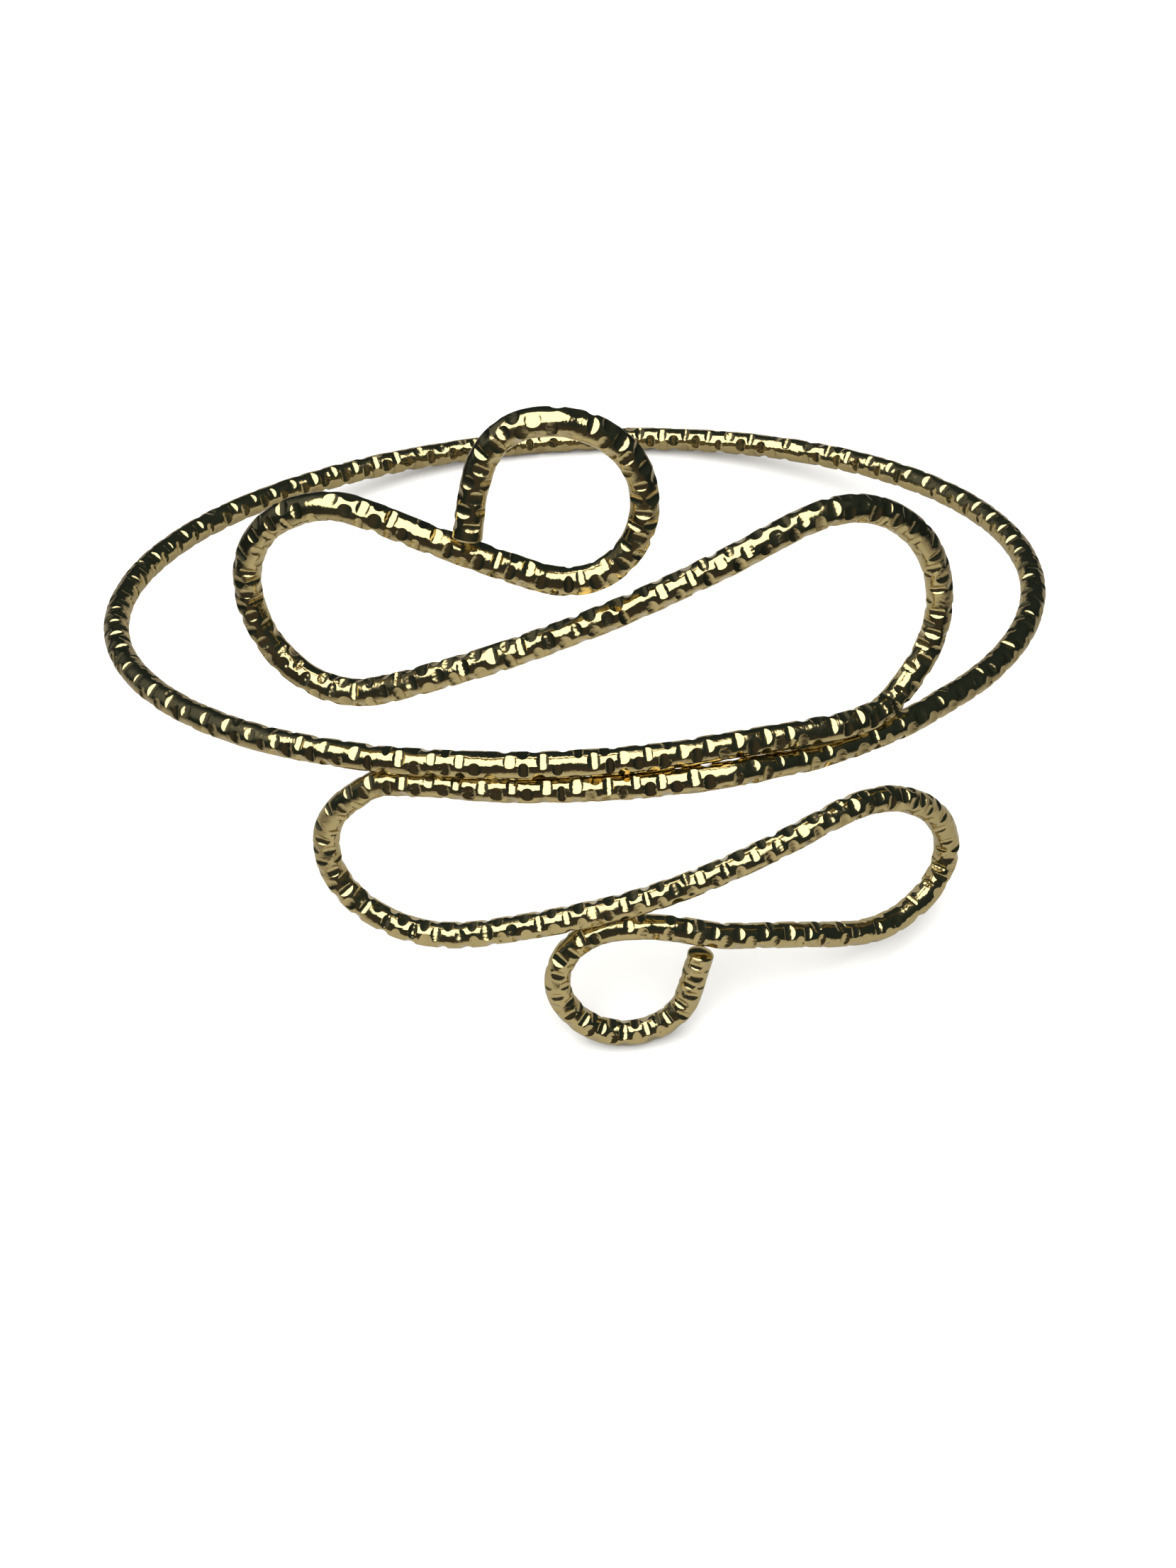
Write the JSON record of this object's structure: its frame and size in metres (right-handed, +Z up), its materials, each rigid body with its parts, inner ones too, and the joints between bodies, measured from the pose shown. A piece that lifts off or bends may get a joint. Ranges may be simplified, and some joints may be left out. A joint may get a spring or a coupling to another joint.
{
  "type": "upper arm cuff bracelet",
  "caption": "Open arm cuff bent from one length of gold-coloured faceted wire: an oval hoop whose ends turn up and down in front into open scrolls with small end loops.",
  "frame": {"origin": "middle of the cuff's footprint, on the surface it lies on", "axes": "+X to the wearer's side at the viewer's right, -Y to the scrolls, +Z up; the cuff lies tipped back, so the arm's axis leans 23.5 degrees from +Z towards +Y"},
  "size_m": [0.0902, 0.0734, 0.059],
  "materials": {
    "gold_wire": "polished pale gold plating with small bright cuts"
  },
  "bodies": {
    "root": {"wire": "gold_wire"}
  },
  "joints": []
}
